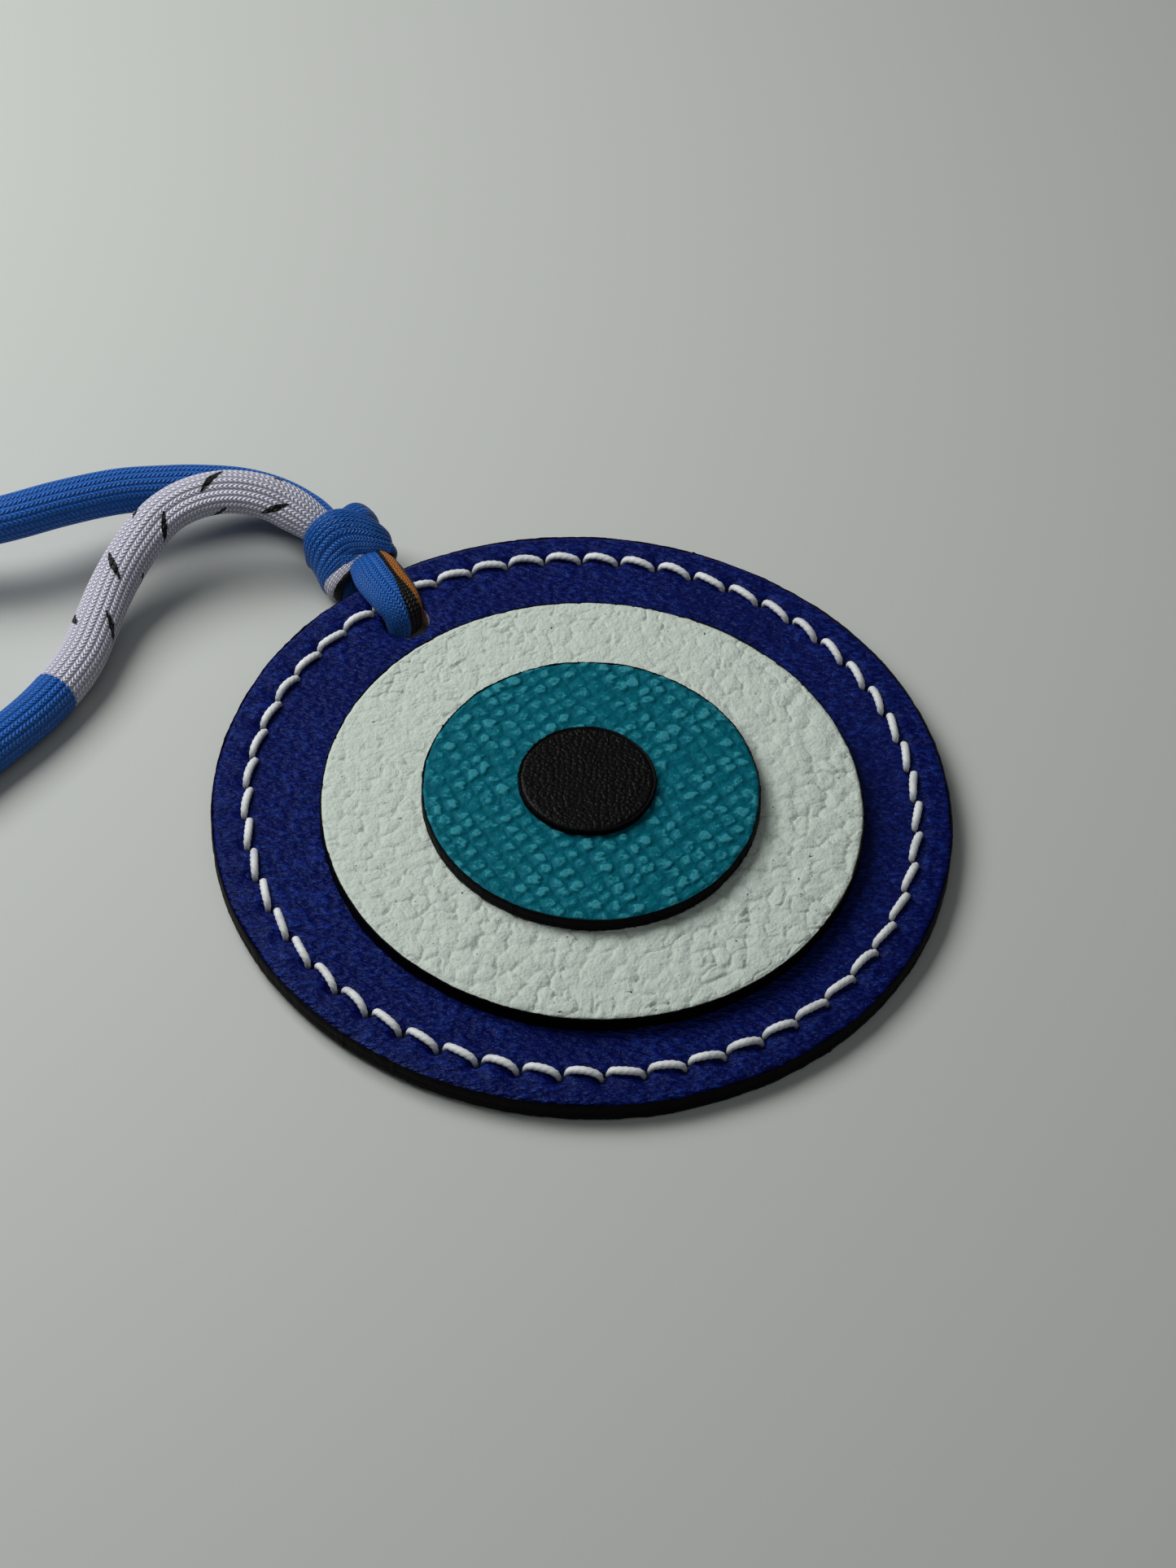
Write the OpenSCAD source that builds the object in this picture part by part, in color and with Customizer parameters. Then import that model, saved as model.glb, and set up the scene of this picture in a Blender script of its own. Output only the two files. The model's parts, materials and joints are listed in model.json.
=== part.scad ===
/* [Base] */
// Diameter of the round base, edge paint included
base_d = 75; // [60:0.5:90]
// Thickness of the front leather layer
front_t = 1.2; // [1.1:0.1:1.5]
// Thickness of the backing leather layer
back_t = 1.2; // [1.1:0.1:1.5]
// Thickness of the paint on the cut edges
paint_t = 0.15; // [0.1:0.05:0.25]

/* [Eye layers] */
// Diameter of the white disc
white_d = 54.8; // [48:0.2:56]
// Thickness of the white disc
white_t = 2; // [1.2:0.1:2.4]
// Diameter of the iris disc
iris_d = 34; // [26:0.2:38]
// Thickness of the iris disc
iris_t = 1.8; // [1.2:0.1:2.2]
// Diameter of the pupil disc
pupil_d = 13.8; // [10:0.2:18]
// Thickness of the pupil disc
pupil_t = 0.8; // [0.5:0.1:1.4]

/* [Stitching] */
// Stitches all the way round
stitches = 53; // [44:1:60]
// Share of the base radius at which the stitches lie
stitch_share = 0.905; // [0.89:0.005:0.92]
// Diameter of the waxed thread where it shows
thread_d = 0.95; // [0.7:0.05:1.05]
// Diameter of the awl holes
awl_d = 1.1; // [1:0.05:1.3]
// How far each stitch slants from one end to the other
slant = 0.9; // [0.4:0.1:1.1]

/* [Cord] */
// Diameter of the tubular cord
cord_d = 5; // [4:0.1:5]
// Diameter of the punched hole that the cord goes through
hole_d = 5; // [5:0.1:5.6]
// Distance of the punched hole from the centre of the base
hole_at = 30.8; // [30:0.1:31]
// Direction of the punched hole, anticlockwise from +X
hole_turn = 130; // [130:130]
// How much the cord under the rim tilts the base as it lies
lean = 1.25; // [1.2:0.05:1.3]

/* [Hidden] */

base_r = base_d / 2;
base_t = front_t + back_t;
stitch_r = base_r * stitch_share;
stitch_step = 360 / stitches;
// The stitches straddle the cord evenly, and two of them pass under it
stitch_start = hole_turn;

// The discs were glued by hand, so none is quite concentric
white_at = [0.95, -1.4];
iris_at = [0.75, -1.2];
pupil_at = [0.3, -0.8];
white_z = base_t;
iris_z = white_z + white_t;
pupil_z = iris_z + iris_t;

// Thread: where it shows it is round, and in an awl hole it is squeezed
thread_r = thread_d / 2;
squeezed_r = 0.24;
in_hole = 0.26;
arch = 0.25;
thread_sides = 6;
groove_w = 1.9;
groove_t = 0.75;

// Cord under and over the rim, as [distance from the centre, height, half thickness, half width].
// It is narrowest where it leaves the hole underneath, and stays off the flat back inside the stitches
bight_route = [
    [39.1, 4.4, 1.3, 2.2],
    [38.2, 4.2, 1.1, 2.5],
    [36.8, 3.6, 0.95, 2.6],
    [34.8, 3.4, 0.95, 2.5],
    [33.0, 3.4, 1.0, 2.3],
    [31.6, 2.6, 1.3, 2.1],
    [31.2, 1.2, 1.6, 2.0],
    [31.7, 0.1, 1.2, 1.9],
    [32.5, -0.65, 0.8, 1.6],
    [33.05, -0.77, 0.75, 1.1],
    [34.0, -0.79, 0.75, 2.2],
    [34.8, -0.79, 0.76, 2.6],
    [37.8, -0.78, 0.76, 2.6],
    [38.6, -0.35, 0.9, 2.5],
    [39.1, 0.35, 1.0, 2.2]];
bight_sides = 12;

// Knot: a band wrapped once round both strands, with lobes where the cord turns back
knot_at = 42.6;
band_r = 4.3;
band_w = 5.6;
band_round = 1.6;
band_z = 4.35;
lobe_r = 2.45;
// Each lobe as [outwards, along the rim, up] from the middle of the knot
lobes = [[1.2, -2.6, 1.9], [-0.6, -3.4, 0.2], [-0.6, 1.8, -0.4]];

// Free cord, from the knot round its loop and back to the knot
loop_route = [
    [-27.6, 35.2, 2.9],
    [-30.9, 38.6, 3.0],
    [-34.6, 40.9, 3.4],
    [-38.8, 41.7, 4.1],
    [-43.2, 41.0, 5.0],
    [-47.4, 39.6, 6.0],
    [-52.0, 37.7, 7.0],
    [-57.5, 34.8, 7.7],
    [-64.0, 31.6, 7.8],
    [-72.0, 29.6, 7.0],
    [-81.0, 28.6, 5.4],
    [-90.0, 26.6, 3.6],
    [-98.5, 21.6, 2.6],
    [-104.0, 13.2, 2.5],
    [-104.8, 3.2, 2.5],
    [-100.0, -5.6, 2.5],
    [-91.5, -10.6, 2.5],
    [-82.0, -11.0, 2.5],
    [-73.0, -7.6, 2.5],
    [-65.6, -1.8, 2.5],
    [-60.0, 4.9, 2.5],
    [-56.2, 10.4, 2.5],
    [-53.6, 15.8, 2.8],
    [-52.4, 20.6, 3.3],
    [-51.2, 25.4, 4.4],
    [-49.4, 29.4, 6.0],
    [-46.8, 32.9, 7.9],
    [-43.6, 35.0, 9.0],
    [-39.8, 36.1, 9.3],
    [-35.8, 36.2, 8.7],
    [-32.2, 35.3, 7.4],
    [-28.4, 33.4, 5.9]];
loop_rings = 78;
loop_sides = 12;

navy = [0.03, 0.06, 0.32];
black = [0.03, 0.03, 0.03];

function unit(v) = v / norm(v);

// One ring of n points about p, in the plane across direction t, a wide along side and b deep
function ring(p, t, side, a, b, n) =
    let (up = unit(cross(side, t)))
    [for (k = [0 : n - 1]) p + a * cos(360 * k / n) * side + b * sin(360 * k / n) * up];

// The direction of a list of points at point i
function along(p, i) = unit(p[min(i + 1, len(p) - 1)] - p[max(i - 1, 0)]);

// Joins the rings one after another, and closes both ends
module skin(rings) {
    n = len(rings[0]);
    m = len(rings);
    sides = [for (i = [0 : m - 2], k = [0 : n - 1])
        [i * n + k, i * n + (k + 1) % n, (i + 1) * n + (k + 1) % n, (i + 1) * n + k]];
    first = [for (k = [n - 1 : -1 : 0]) k];
    last = [for (k = [0 : n - 1]) (m - 1) * n + k];
    polyhedron([for (r = rings) each r], concat([first], sides, [last]), convexity = 4);
}

// A point on the smooth curve through p, at u from 0 to len(p) - 1
function smooth(p, u) =
    let (i = min(floor(u), len(p) - 2), f = u - i)
    let (a = p[max(i - 1, 0)], b = p[i], c = p[i + 1], d = p[min(i + 2, len(p) - 1)])
    0.5 * (2 * b + (c - a) * f + (2 * a - 5 * b + 4 * c - d) * f * f
        + (3 * b - a - 3 * c + d) * f * f * f);

// Puts what is modelled on the flat base where it lies: its rim down on one side, up at the cord
module lying() {
    translate([0, 0, base_r * sin(lean)])
        rotate(lean, [sin(hole_turn), -cos(hole_turn), 0])
            children();
}

module paint_ring(r, t, at, z) {
    translate([at.x, at.y, z])
        difference() {
            cylinder(h = t, r = r, $fn = 180);
            translate([0, 0, -1])
                cylinder(h = t + 2, r = r - paint_t, $fn = 180);
        }
}

module leather(r, t, at, z) {
    translate([at.x, at.y, z])
        cylinder(h = t, r = r - paint_t, $fn = 180);
}

module awl_holes() {
    for (i = [0 : stitches - 1])
        rotate(stitch_start + (i + 0.5) * stitch_step)
            translate([stitch_r, 0, -1])
                cylinder(h = base_t + 2, d = awl_d, $fn = 24);
}

module punched_hole() {
    rotate(hole_turn)
        translate([hole_at, 0, -1])
            cylinder(h = base_t + 2, d = hole_d, $fn = 60);
}

module stitching_groove() {
    rotate_extrude($fn = 180)
        translate([stitch_r - groove_w / 2, -groove_t])
            square([groove_w, 2 * groove_t]);
}

// One length of thread between two awl holes. way is 1 on the front and -1 on the back
module stitch(i, face_z, way) {
    from = stitch_start + (i - 0.5) * stitch_step;
    to = from + stitch_step;
    p = (stitch_r - in_hole) * [cos(from), sin(from), 0];
    q = (stitch_r + in_hole) * [cos(to), sin(to), 0];
    chord = unit(q - p);
    out = [chord.y, -chord.x, 0];
    middle = (p + q) / 2;
    bow = (slant - 2 * in_hole) / 2;
    high = [0, 0, way];
    half = norm(q - p) / 2;
    top = [0, 0, face_z] + high * (thread_r - 0.05);
    route = [
        [p[0], p[1], base_t / 2],
        p + chord * 0.05 + [0, 0, face_z] - high * 0.2,
        middle - chord * half * 0.72 - out * bow + top,
        middle + top + high * arch * (way > 0 ? 1 : 0),
        middle + chord * half * 0.72 + out * bow + top,
        q - chord * 0.05 + [0, 0, face_z] - high * 0.2,
        [q[0], q[1], base_t / 2]];
    radii = [squeezed_r, squeezed_r, thread_r * 0.92, thread_r, thread_r * 0.92, squeezed_r, squeezed_r];
    last = len(route) - 1;
    skin([for (j = [0 : last])
        ring(route[j], j == 0 ? high : j == last ? -high : along(route, j), out,
            radii[j], radii[j], thread_sides)]);
}

module backing_disc() {
    color(navy)
        lying()
            difference() {
                leather(base_r, back_t, [0, 0], 0);
                punched_hole();
                awl_holes();
                stitching_groove();
            }
}

module front_disc() {
    color(navy)
        lying()
            difference() {
                leather(base_r, front_t, [0, 0], back_t);
                punched_hole();
                awl_holes();
            }
}

module rim_edge_paint() {
    color(black) lying() paint_ring(base_r, base_t, [0, 0], 0);
}

module white_disc() {
    color([0.86, 0.88, 0.85]) lying() leather(white_d / 2, white_t, white_at, white_z);
}

module white_edge_paint() {
    color(black) lying() paint_ring(white_d / 2, white_t, white_at, white_z);
}

module iris_disc() {
    color([0.02, 0.42, 0.47]) lying() leather(iris_d / 2, iris_t, iris_at, iris_z);
}

module iris_edge_paint() {
    color(black) lying() paint_ring(iris_d / 2, iris_t, iris_at, iris_z);
}

module pupil_disc() {
    color([0.05, 0.05, 0.06]) lying() leather(pupil_d / 2, pupil_t, pupil_at, pupil_z);
}

module pupil_edge_paint() {
    color(black) lying() paint_ring(pupil_d / 2, pupil_t, pupil_at, pupil_z);
}

module front_stitches() {
    color([0.9, 0.9, 0.9])
        lying()
            for (i = [0 : stitches - 1]) stitch(i, base_t, 1);
}

// On the back the thread is sunk in the groove, so that the base lies flat
module back_stitches() {
    color([0.9, 0.9, 0.9])
        lying()
            for (i = [0 : stitches - 1]) stitch(i, groove_t + 0.2, -1);
}

// The cord over the rim, down through the hole and back under the rim
module cord_bight() {
    side = [0, 1, 0];
    spine = [for (p = bight_route) [p[0], 0, p[1]]];
    color([0.08, 0.25, 0.6])
        lying()
            rotate(hole_turn)
                skin([for (i = [0 : len(spine) - 1])
                    ring(spine[i], along(spine, i), side,
                        bight_route[i][3], bight_route[i][2], bight_sides)]);
}

module cord_knot() {
    color([0.1, 0.3, 0.65])
        rotate(hole_turn)
            translate([knot_at, 0, 0]) {
                translate([0, 0, band_z])
                    rotate([0, 90, 0])
                        rotate_extrude($fn = 60)
                            band_outline();
                for (p = lobes)
                    translate([p.x, p.y, p.z + band_z])
                        sphere(r = lobe_r, $fn = 40);
            }
}

// Half of the band's section: a rounded barrel about its own axis
module band_outline() {
    straight = band_w / 2 - band_round;
    translate([0, -band_w / 2]) square([band_r - band_round, band_w]);
    translate([0, -straight]) square([band_r, 2 * straight]);
    for (y = [-straight, straight])
        translate([band_r - band_round, y]) circle(r = band_round, $fn = 32);
}

// The free cord, which lies in one open loop beside the base
module cord_loop() {
    spine = [for (i = [0 : loop_rings - 1])
        smooth(loop_route, i * (len(loop_route) - 1) / (loop_rings - 1))];
    color([0.08, 0.25, 0.6])
        skin([for (i = [0 : loop_rings - 1])
            let (t = along(spine, i), side = unit([t.y, -t.x, 0]))
            ring(spine[i], t, side, cord_d / 2, cord_d / 2, loop_sides)]);
}

backing_disc();
front_disc();
rim_edge_paint();
white_disc();
white_edge_paint();
iris_disc();
iris_edge_paint();
pupil_disc();
pupil_edge_paint();
front_stitches();
back_stitches();
cord_bight();
cord_knot();
cord_loop();
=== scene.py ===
"""Evil eye charm: stacked leather discs, a saddle-stitched rim and a knotted loop of tubular cord."""

import json
import math

import bmesh
import bpy
import numpy as np
from mathutils import Matrix, Vector
from mathutils.geometry import tessellate_polygon


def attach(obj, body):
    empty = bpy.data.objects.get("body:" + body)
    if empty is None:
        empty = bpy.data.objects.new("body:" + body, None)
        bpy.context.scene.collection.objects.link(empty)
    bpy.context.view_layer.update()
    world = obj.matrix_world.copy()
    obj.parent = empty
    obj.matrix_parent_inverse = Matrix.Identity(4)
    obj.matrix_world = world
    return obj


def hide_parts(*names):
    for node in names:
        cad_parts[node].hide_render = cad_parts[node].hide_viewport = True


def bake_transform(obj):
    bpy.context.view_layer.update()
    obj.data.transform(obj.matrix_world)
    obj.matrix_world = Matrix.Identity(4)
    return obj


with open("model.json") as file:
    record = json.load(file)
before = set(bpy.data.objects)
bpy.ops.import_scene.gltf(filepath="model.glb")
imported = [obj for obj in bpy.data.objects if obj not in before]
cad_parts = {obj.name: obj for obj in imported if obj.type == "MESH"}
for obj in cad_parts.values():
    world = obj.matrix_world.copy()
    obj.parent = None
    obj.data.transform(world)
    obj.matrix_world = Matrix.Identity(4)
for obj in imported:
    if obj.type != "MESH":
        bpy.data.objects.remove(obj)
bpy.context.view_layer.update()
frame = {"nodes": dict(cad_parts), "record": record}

MM = 0.001

# ---------------------------------------------------------------- frame
BACK = next(m for m in frame["record"]["mounts"] if m["name"] == "back_face")
LEAN = Vector((0, 0, -1)).rotation_difference(Vector(BACK["axis"]))
# Everything on the leather base is modelled flat, in mm from the middle of its back, then laid down
LYING = Matrix.Translation(BACK["pos_m"]) @ LEAN.to_matrix().to_4x4()

HOLE_TURN = math.radians(130)
HOLE_AT = 30.8
HOLE_R = 2.5
OUT = np.array([math.cos(HOLE_TURN), math.sin(HOLE_TURN), 0])
ACROSS = np.array([math.sin(HOLE_TURN), -math.cos(HOLE_TURN), 0])
UP = np.array([0, 0, 1.0])

STITCHES = 53
STITCH_STEP = 2 * math.pi / STITCHES


def flat_size(node):
    """Middle (x, y), radius, lowest and highest height of a round CAD node in the flat frame, in mm."""
    back_to_flat = LYING.inverted()
    points = np.array([back_to_flat @ v.co for v in frame["nodes"][node].data.vertices]) / MM
    low, high = points.min(0), points.max(0)
    middle = (low + high) / 2
    return middle[:2], (high[0] - low[0]) / 2, low[2], high[2]


# ---------------------------------------------------------------- camera, light and floor
EYE = Vector((0.3975, -227.31, 272.81)) * MM
TILT = 0.7040
ROLL = 0.0561
SENSOR_WIDTH = 36
LENS = 80.07


def make_camera():
    camera = bpy.data.cameras.new("camera")
    camera.sensor_width = SENSOR_WIDTH
    camera.lens = LENS
    shot = bpy.data.objects.new("camera", camera)
    bpy.context.scene.collection.objects.link(shot)
    turned = Matrix.Rotation(TILT, 4, "X") @ Matrix.Rotation(ROLL, 4, "Z")
    shot.matrix_world = LYING @ Matrix.Translation(EYE) @ turned
    bpy.context.scene.camera = shot


def make_light(name, at, aim, size, power, colour):
    lamp = bpy.data.lights.new(name, "AREA")
    lamp.shape = "RECTANGLE"
    lamp.size, lamp.size_y = size
    lamp.energy = power
    lamp.color = colour
    held = bpy.data.objects.new(name, lamp)
    bpy.context.scene.collection.objects.link(held)
    held.location = at
    held.rotation_euler = (Vector(aim) - Vector(at)).to_track_quat("-Z", "Y").to_euler()


# Lights: place in metres, size, power in watts, colour
WINDOW = ((-0.22, 0.12, 0.28), (0.24, 0.24), 1.4, (1.0, 1.0, 0.98))
FILL = ((0.1, -0.5, 1.0), (1.0, 1.0), 1.5, (0.96, 0.99, 1.0))
WORLD_COLOUR = (0.86, 0.9, 0.9, 1)
WORLD_STRENGTH = 0.06


def make_studio():
    make_light("window", WINDOW[0], (0, 0, 0), *WINDOW[1:])
    make_light("fill", FILL[0], (0, 0, 0), *FILL[1:])
    world = bpy.data.worlds.new("studio")
    world.use_nodes = True
    background = world.node_tree.nodes["Background"]
    background.inputs["Color"].default_value = WORLD_COLOUR
    background.inputs["Strength"].default_value = WORLD_STRENGTH
    bpy.context.scene.world = world
    bpy.context.scene.view_settings.view_transform = "Standard"


# ---------------------------------------------------------------- numbers that look random but repeat
def lattice(ix, iy, seed):
    """A repeatable number from 0 to 1 for each whole-number point."""
    mixed = np.sin(ix * 127.1 + iy * 311.7 + seed * 74.7) * 43758.5453
    return mixed - np.floor(mixed)


def noise(x, y, seed):
    """Smooth noise from -0.5 to 0.5 with one bump per unit."""
    ix, iy = np.floor(x), np.floor(y)
    fx, fy = x - ix, y - iy
    fx, fy = fx * fx * (3 - 2 * fx), fy * fy * (3 - 2 * fy)
    near = lattice(ix, iy, seed) * (1 - fx) + lattice(ix + 1, iy, seed) * fx
    far = lattice(ix, iy + 1, seed) * (1 - fx) + lattice(ix + 1, iy + 1, seed) * fx
    return near * (1 - fy) + far * fy - 0.5


def cells(x, y, seed, jitter=0.85):
    """For points in a pattern of cells one unit wide: how far inside their cell they are, a number for the
    cell, and the distance from its middle."""
    ix, iy = np.floor(x), np.floor(y)
    first = np.full(x.shape, 9.0)
    second = np.full(x.shape, 9.0)
    owner = np.zeros(x.shape)
    for dx in (-1, 0, 1):
        for dy in (-1, 0, 1):
            cx, cy = ix + dx, iy + dy
            px = cx + 0.5 + jitter * (lattice(cx, cy, seed) - 0.5)
            py = cy + 0.5 + jitter * (lattice(cx, cy, seed + 5) - 0.5)
            away = np.hypot(x - px, y - py)
            nearer = away < first
            second = np.where(nearer, first, np.minimum(second, away))
            owner = np.where(nearer, lattice(cx, cy, seed + 9), owner)
            first = np.where(nearer, away, first)
    return second - first, owner, first


def smoothstep(low, high, x):
    t = np.clip((x - low) / (high - low), 0, 1)
    return t * t * (3 - 2 * t)


# ---------------------------------------------------------------- meshes
# Pieces are pressed flat where they rest on the table, just clear of it, in metres
TABLE_GAP = 0.00002


def mesh_piece(name, points, faces, materials, body, replaces, flat=True):
    """A smooth mesh from points in mm. flat ones are in the base's own flat frame, and laid down with it."""
    mesh = bpy.data.meshes.new(name)
    mesh.from_pydata((np.asarray(points) * MM).tolist(), [], faces)
    if flat:
        mesh.transform(LYING)
    for point in mesh.vertices:
        point.co.z = max(point.co.z, TABLE_GAP)
    built = bmesh.new()
    built.from_mesh(mesh)
    bmesh.ops.recalc_face_normals(built, faces=built.faces)
    built.to_mesh(mesh)
    built.free()
    mesh.polygons.foreach_set("use_smooth", [True] * len(mesh.polygons))
    for material in materials:
        mesh.materials.append(material)
    piece = bpy.data.objects.new(name, mesh)
    bpy.context.scene.collection.objects.link(piece)
    if body:
        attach(piece, body)
    if replaces:
        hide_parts(*replaces)
    return piece


def put_values(piece, name, values):
    """Stores one number per point for the material to read."""
    stored = piece.data.attributes.new(name, "FLOAT", "POINT")
    stored.data.foreach_set("value", np.asarray(values, np.float32).ravel())


def put_uv(piece, per_point, turn=1.0):
    """Stores a (u, v) per point as the mesh's UV map. v goes from 0 to turn round a tube, and is mended at
    its seam."""
    corners = np.empty(len(piece.data.loops), np.int32)
    piece.data.loops.foreach_get("vertex_index", corners)
    uv = np.asarray(per_point, float)[corners]
    starts = np.empty(len(piece.data.polygons), np.int32)
    totals = np.empty(len(piece.data.polygons), np.int32)
    piece.data.polygons.foreach_get("loop_start", starts)
    piece.data.polygons.foreach_get("loop_total", totals)
    for start in starts[totals == 4]:
        v = uv[start : start + 4, 1]
        if v.max() - v.min() > turn / 2:
            v[v < turn / 2] += turn
    layer = piece.data.uv_layers.new(name="UVMap")
    layer.data.foreach_set("uv", uv.ravel())


def tube_faces(rings, around, first=0):
    """Quads between rings of points that each close on themselves."""
    start = first + np.arange(rings - 1)[:, None] * around
    k = np.arange(around)[None, :]
    a, b = start + k, start + (k + 1) % around
    return np.stack([a, b, b + around, a + around], -1).reshape(-1, 4).tolist()


def ring_points(radius, height, turn):
    """Points round the flat frame's origin. radius and height are one row per ring, turn one per point."""
    return np.stack([radius * np.cos(turn), radius * np.sin(turn), height + 0 * radius], -1)


def smooth_route(route, count):
    """count points evenly spaced along the smooth curve through route."""
    route = np.asarray(route, float)
    u = np.linspace(0, len(route) - 1, 40 * len(route))
    i = np.minimum(np.floor(u).astype(int), len(route) - 2)
    f = (u - i)[:, None]
    a, b = route[np.maximum(i - 1, 0)], route[i]
    c, d = route[i + 1], route[np.minimum(i + 2, len(route) - 1)]
    fine = 0.5 * (2 * b + (c - a) * f + (2 * a - 5 * b + 4 * c - d) * f**2 + (3 * b - a - 3 * c + d) * f**3)
    return even(fine, count)


def even(fine, count):
    """count points evenly spaced along a fine line, by its first three values."""
    steps = np.linalg.norm(np.diff(fine[:, :3], axis=0), axis=1)
    along = np.concatenate([[0], np.cumsum(steps)])
    at = np.linspace(0, along[-1], count)
    return np.stack([np.interp(at, along, fine[:, k]) for k in range(fine.shape[1])], -1)


def sweep(path, across, wide, deep):
    """Rings across a path. across is the direction, or directions, that wide is measured in."""
    forward = np.gradient(path, axis=0)
    forward /= np.linalg.norm(forward, axis=1)[:, None]
    side = across - (across * forward).sum(-1, keepdims=True) * forward
    side = side / np.linalg.norm(side, axis=-1, keepdims=True)
    over = np.cross(side, forward)
    return path[:, None] + wide[..., None] * side[:, None] + deep[..., None] * over[:, None]


def capped(rings, around):
    """The faces of a tube with both ends closed."""
    faces = tube_faces(rings, around)
    return faces + [list(range(around - 1, -1, -1)), [(rings - 1) * around + k for k in range(around)]]


# ---------------------------------------------------------------- materials
class Look:
    """A Principled material, and a short way to add nodes to it."""

    def __init__(self, name, **constants):
        self.material = bpy.data.materials.new(name)
        self.material.use_nodes = True
        self.tree = self.material.node_tree
        self.shader = self.tree.nodes["Principled BSDF"]
        for socket, value in constants.items():
            self.shader.inputs[socket.replace("_", " ")].default_value = value

    def node(self, kind, inputs, **settings):
        made = self.tree.nodes.new("ShaderNode" + kind)
        for setting, value in settings.items():
            setattr(made, setting, value)
        for socket, value in inputs.items():
            self.put(made.inputs[socket], value)
        return made

    def put(self, socket, value):
        if isinstance(value, bpy.types.NodeSocket):
            self.tree.links.new(value, socket)
        else:
            socket.default_value = value

    def sum(self, operation, *values):
        return self.node("Math", dict(enumerate(values)), operation=operation).outputs[0]

    def place(self):
        return self.node("TexCoord", {}).outputs["Object"]

    def speckle(self, size, detail=2.0, where=None, stretch=None):
        """Noise from 0 to 1 with bumps of about size mm."""
        where = where or self.place()
        if stretch:
            moved = {"Vector": where, "Rotation": stretch[0], "Scale": stretch[1]}
            where = self.node("Mapping", moved).outputs[0]
        made = self.node("TexNoise", {"Vector": where, "Scale": 1 / (size * MM), "Detail": detail})
        return made.outputs["Fac"]

    def ramp(self, value, *stops):
        """A colour ramp from (position, colour) stops."""
        made = self.node("ValToRGB", {"Fac": value})
        band = made.color_ramp
        while len(band.elements) < len(stops):
            band.elements.new(0.5)
        for element, (position, colour) in zip(band.elements, stops):
            element.position = position
            element.color = (*colour, 1) if len(colour) == 3 else colour
        return made.outputs["Color"]

    def step(self, value, low, high):
        inputs = {0: value, 1: low, 2: high, 3: 0.0, 4: 1.0}
        return self.node("MapRange", inputs, interpolation_type="SMOOTHSTEP").outputs[0]

    def mix(self, share, a, b, blend="MIX"):
        made = self.node("Mix", {}, data_type="RGBA", blend_type=blend)
        self.put(made.inputs[0], share)
        self.put(made.inputs[6], a if not isinstance(a, tuple) else (*a, 1))
        self.put(made.inputs[7], b if not isinstance(b, tuple) else (*b, 1))
        return made.outputs[2]

    def bump(self, height, depth, strength=1.0, under=None):
        """depth is in mm."""
        inputs = {"Height": height, "Distance": depth * MM, "Strength": strength}
        if under:
            inputs["Normal"] = under
        return self.node("Bump", inputs).outputs[0]

    def value(self, name):
        return self.node("Attribute", {}, attribute_name=name).outputs["Fac"]

    def finish(self, colour, roughness=None, normal=None):
        self.put(self.shader.inputs["Base Color"], colour)
        if roughness is not None:
            self.put(self.shader.inputs["Roughness"], roughness)
        if normal is not None:
            self.put(self.shader.inputs["Normal"], normal)
        return self.material


NAVY = (0.0004, 0.0015, 0.065)
NAVY_RIDGE_HIGHLIGHT = (0.005, 0.016, 0.165)
NAVY_SLIT_SHADE = (0.0004, 0.0006, 0.008)
FIBRE_DARK = (0.16, 0.1, 0.11)
FIBRE_PALE = (0.55, 0.46, 0.46)
WHITE = (0.53, 0.60, 0.545)
WHITE_CREASE_SHADE = (0.40, 0.45, 0.405)
WHITE_SPECKLE_HIGHLIGHT = (0.57, 0.64, 0.59)
DIRT = (0.06, 0.07, 0.06)
TEAL = (0.0008, 0.106, 0.150)
TEAL_TOP_HIGHLIGHT = (0.030, 0.235, 0.295)
TEAL_CREASE_SHADE = (0.001, 0.085, 0.125)
BLACK = (0.0015, 0.0015, 0.002)
BLACK_WORN = (0.004, 0.004, 0.005)
PAINT = (0.0006, 0.0006, 0.0006)
PAINT_WORN = (0.002, 0.0018, 0.0016)
THREAD = (0.72, 0.74, 0.76)
THREAD_SOILED = (0.54, 0.56, 0.59)
THREAD_HOLE_SHADE = (0.05, 0.06, 0.12)
CORD_BLUE_DARK = (0.008, 0.115, 0.48)
CORD_BLUE = (0.018, 0.195, 0.75)
CORD_WHITE = (0.82, 0.82, 0.93)
CORD_ORANGE = (0.66, 0.21, 0.02)
CORD_INK = (0.002, 0.002, 0.003)
KNIT_FURROW_SHADE = (0.40, 0.40, 0.46)
FLOOR = (0.50, 0.52, 0.50, 1)


def navy_leather():
    look = Look("navy_calf", Specular_IOR_Level=0.22, Specular_Tint=(0.4, 0.65, 1.0, 1.0))
    wrinkles = look.speckle(0.62, 3.0, stretch=((0, 0, -0.15), (0.6, 1.5, 1.0)))
    pores = look.speckle(0.16, 1.0)
    tone = look.speckle(9.0, 2.0)
    # Painted highlight: the wrinkle ridges are painted a lighter blue
    colour = look.mix(look.step(wrinkles, 0.46, 0.64), NAVY, NAVY_RIDGE_HIGHLIGHT)
    colour = look.mix(look.sum("MULTIPLY", look.step(tone, 0.4, 0.7), 0.6), colour, NAVY)
    # Painted shade: the leather is painted darker down in the awl slits
    colour = look.mix(look.step(look.value("slit_shade"), 0.15, 0.8), colour, NAVY_SLIT_SHADE)
    rough = look.node("MapRange", {0: wrinkles, 1: 0.3, 2: 0.7, 3: 0.48, 4: 0.36}).outputs[0]
    normal = look.bump(pores, 0.03, 0.7, look.bump(wrinkles, 0.6, 1.0))
    return look.finish(colour, rough, normal)


def raw_leather():
    look = Look("raw_leather", Roughness=0.9)
    fibres = look.speckle(0.25, 3.0)
    colour = look.ramp(fibres, (0.3, FIBRE_DARK), (0.7, FIBRE_PALE))
    return look.finish(colour, None, look.bump(fibres, 0.12))


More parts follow.
